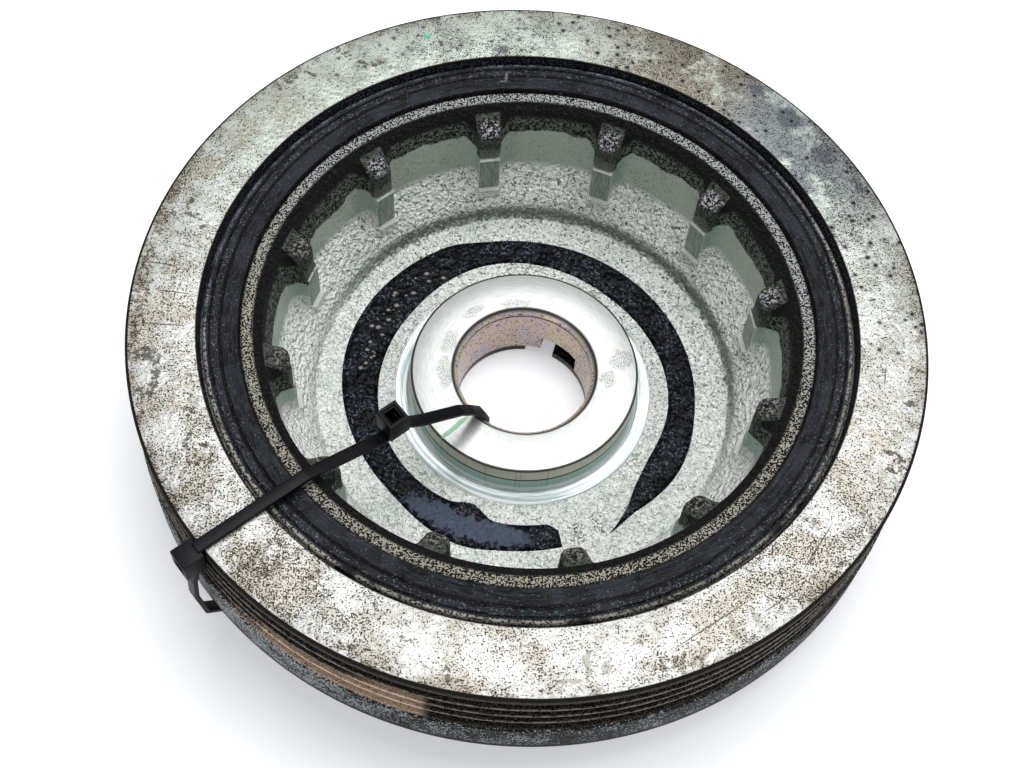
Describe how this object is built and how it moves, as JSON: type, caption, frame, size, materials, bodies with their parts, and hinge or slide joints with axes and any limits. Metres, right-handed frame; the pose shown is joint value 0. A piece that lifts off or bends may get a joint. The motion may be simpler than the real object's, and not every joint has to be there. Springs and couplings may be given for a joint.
{
  "type": "crankshaft harmonic balancer",
  "caption": "Round crankshaft balancer: a ribbed cast hub cup in a rubber ring and a heavy outer ring with belt grooves, held by linked cable ties.",
  "frame": {"origin": "crank axis at the rear end of the hub boss", "axes": "+Z along the crank axis towards the front face; +Y at azimuth 0, from which the ribs, the drive slot and the ties are measured clockwise seen from the front"},
  "size_m": [0.158, 0.158, 0.0406],
  "materials": {
    "turned_iron": "machined iron face, lightly stained and pitted; blackened belt grooves",
    "elastomer": "matt black moulded rubber, dusty at the outer bead",
    "cast_hub": "sand-cast iron with machined collar, dirt in the cup's upper edge",
    "sealer": "dried glossy blue-black brushed sealer",
    "nylon": "satin black nylon"
  },
  "bodies": {
    "root": {"inertia_ring": "turned_iron", "rubber_ring": "elastomer", "hub": "cast_hub", "sealer_band": "sealer", "cable_tie_inner": "nylon", "cable_tie_outer": "nylon"}
  },
  "joints": []
}
